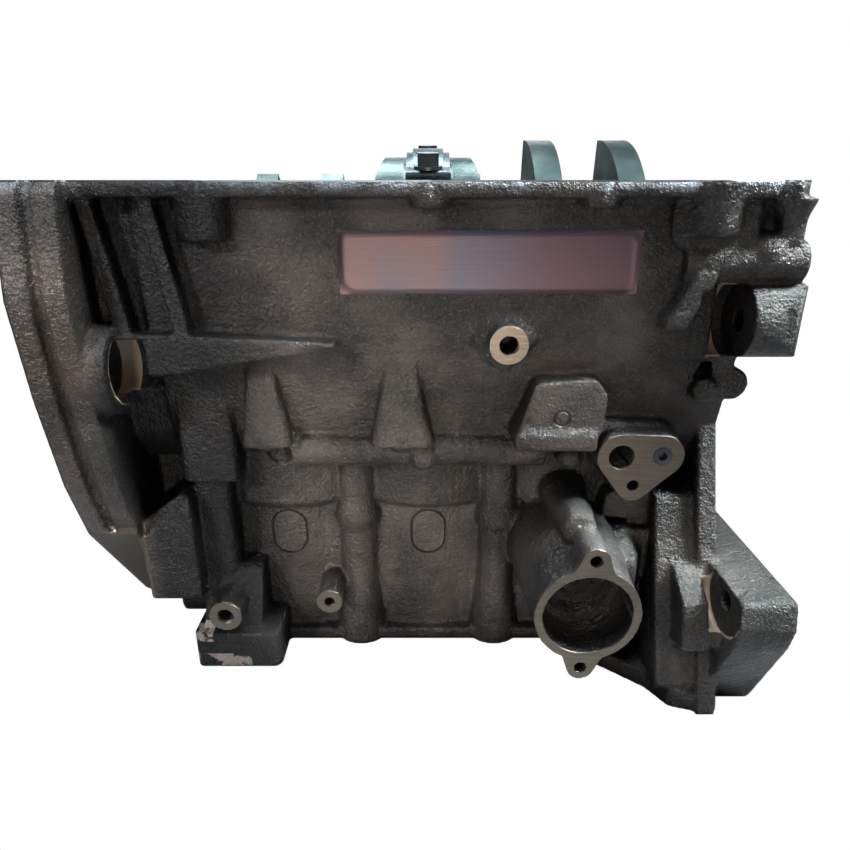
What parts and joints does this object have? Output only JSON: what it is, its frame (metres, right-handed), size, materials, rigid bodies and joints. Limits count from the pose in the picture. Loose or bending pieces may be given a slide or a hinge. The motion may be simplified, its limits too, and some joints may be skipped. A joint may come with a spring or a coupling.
{
  "type": "engine short block",
  "caption": "Cast-iron inline engine short block standing upside down on its head face, with crankshaft, rods, pistons and main bearing caps fitted.",
  "frame": {"origin": "middle cylinder's axis on the cylinder-head face, the centre of the head bolt pattern", "axes": "+X along the crankshaft to the timing end, +Z from the head face to the sump face, -Y to the water pump side"},
  "size_m": [0.375, 0.2539, 0.275],
  "materials": {
    "cast_iron_skin": "oiled as-cast skin with machined faces",
    "cap_iron": "machined cast iron",
    "crank_steel": "ground journals, as-forged webs",
    "forged_rod": "shot-blasted forging",
    "piston_alloy": "turned",
    "pin_steel": "ground",
    "ring_steel": "satin",
    "bearing_metal": "matt overlay",
    "bolt_steel": "dark phosphate",
    "retainer_alloy": "die cast",
    "seal_rubber": "matt"
  },
  "bodies": {
    "root": {"block": "cast_iron_skin", "crankshaft": "crank_steel", "main_cap_bolts": "bolt_steel", "main_shells_upper": "bearing_metal", "main_shells_lower": "bearing_metal", "thrust_washers": "bearing_metal", "rod_bolts": "bolt_steel", "rod_bearing_shells": "bearing_metal", "compression_rings": "ring_steel", "oil_rings": "ring_steel", "rear_seal_retainer": "retainer_alloy", "rear_oil_seal": "seal_rubber", "seal_retainer_bolts": "bolt_steel", "gallery_plug": "bolt_steel", "main_bearing_cap_1": "cap_iron", "main_bearing_cap_2": "cap_iron", "main_bearing_cap_3": "cap_iron", "main_bearing_cap_4": "cap_iron", "connecting_rod_1": "forged_rod", "rod_cap_1": "forged_rod", "piston_1": "piston_alloy", "piston_pin_1": "pin_steel", "connecting_rod_2": "forged_rod", "rod_cap_2": "forged_rod", "piston_2": "piston_alloy", "piston_pin_2": "pin_steel", "connecting_rod_3": "forged_rod", "rod_cap_3": "forged_rod", "piston_3": "piston_alloy", "piston_pin_3": "pin_steel"}
  },
  "joints": []
}
